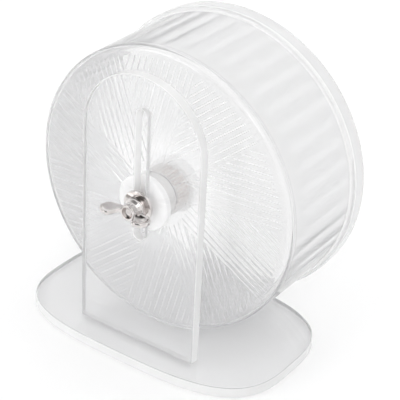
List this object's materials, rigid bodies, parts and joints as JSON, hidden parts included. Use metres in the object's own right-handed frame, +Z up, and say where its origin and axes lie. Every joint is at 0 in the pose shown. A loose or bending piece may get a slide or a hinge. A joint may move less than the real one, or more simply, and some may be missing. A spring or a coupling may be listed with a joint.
{
  "type": "hamster wheel",
  "caption": "Free-standing clear hamster wheel: a ribbed open drum turns on ball bearings on a bolt that a wing nut clamps at any height in a slotted upright.",
  "frame": {"origin": "centre of the base plate's underside", "axes": "+Z up, +Y along the axle from the upright plate towards the open end of the drum, +X to the right seen from the wing nut"},
  "size_m": [0.169, 0.1048, 0.1756],
  "materials": {
    "clear_sheet": "clear acrylic sheet with polished edges",
    "clear_moulding": "clear injection-moulded plastic",
    "white_plastic": "satin white moulded plastic",
    "bearing_steel": "ground bearing steel",
    "ball_steel": "polished steel balls",
    "cage_brass": "brass ball cage",
    "nickel_plate": "nickel-plated steel"
  },
  "bodies": {
    "stand": {"base_plate": "clear_sheet", "upright_plate": "clear_sheet"},
    "axle": {"axle_bolt": "nickel_plate", "bolt_head_ring": "bearing_steel", "front_inner_ring": "bearing_steel", "rear_inner_ring": "bearing_steel", "inner_ring_spacer": "bearing_steel", "flange_spacer": "white_plastic", "flat_washer": "nickel_plate"},
    "wheel": {"wheel_drum": "clear_moulding", "hub_sleeve": "clear_moulding", "hub_cap": "white_plastic", "front_outer_ring": "bearing_steel", "front_outer_shield": "bearing_steel", "front_inner_shield": "bearing_steel", "rear_outer_ring": "bearing_steel", "rear_outer_shield": "bearing_steel", "rear_inner_shield": "bearing_steel"},
    "front_ball_set": {"front_balls": "ball_steel", "front_cage": "cage_brass"},
    "rear_ball_set": {"rear_balls": "ball_steel", "rear_cage": "cage_brass"},
    "nut_seat": {"lock_washer": "nickel_plate"},
    "nut": {"wing_nut": "nickel_plate"}
  },
  "joints": [
    {"name": "axle_height", "type": "slide", "parent": "stand", "child": "axle", "axis": [0, 0, 1], "range_m": [0, 0.05]},
    {"name": "wheel_spin", "type": "hinge", "parent": "axle", "child": "wheel", "pos_m": [0, -0.0159, 0.0911], "axis": [0, 1, 0], "continuous": true},
    {"name": "front_balls_orbit", "type": "hinge", "parent": "axle", "child": "front_ball_set", "pos_m": [0, -0.02055, 0.0911], "axis": [0, 1, 0], "continuous": true},
    {"name": "rear_balls_orbit", "type": "hinge", "parent": "axle", "child": "rear_ball_set", "pos_m": [0, -0.00783, 0.0911], "axis": [0, 1, 0], "continuous": true},
    {"name": "nut_advance", "type": "slide", "parent": "axle", "child": "nut_seat", "axis": [0, -1, 0], "range_m": [0, 0.002]},
    {"name": "wing_nut_turn", "type": "hinge", "parent": "nut_seat", "child": "nut", "pos_m": [0, -0.04125, 0.0911], "axis": [0, -1, 0], "range_deg": [0, 720]}
  ],
  "couplings": [
    {"joint": "front_balls_orbit", "follows": "wheel_spin", "ratio": 0.63967},
    {"joint": "rear_balls_orbit", "follows": "wheel_spin", "ratio": 0.63967},
    {"joint": "nut_advance", "follows": "wing_nut_turn", "m_per_rad": 0.00015915}
  ]
}
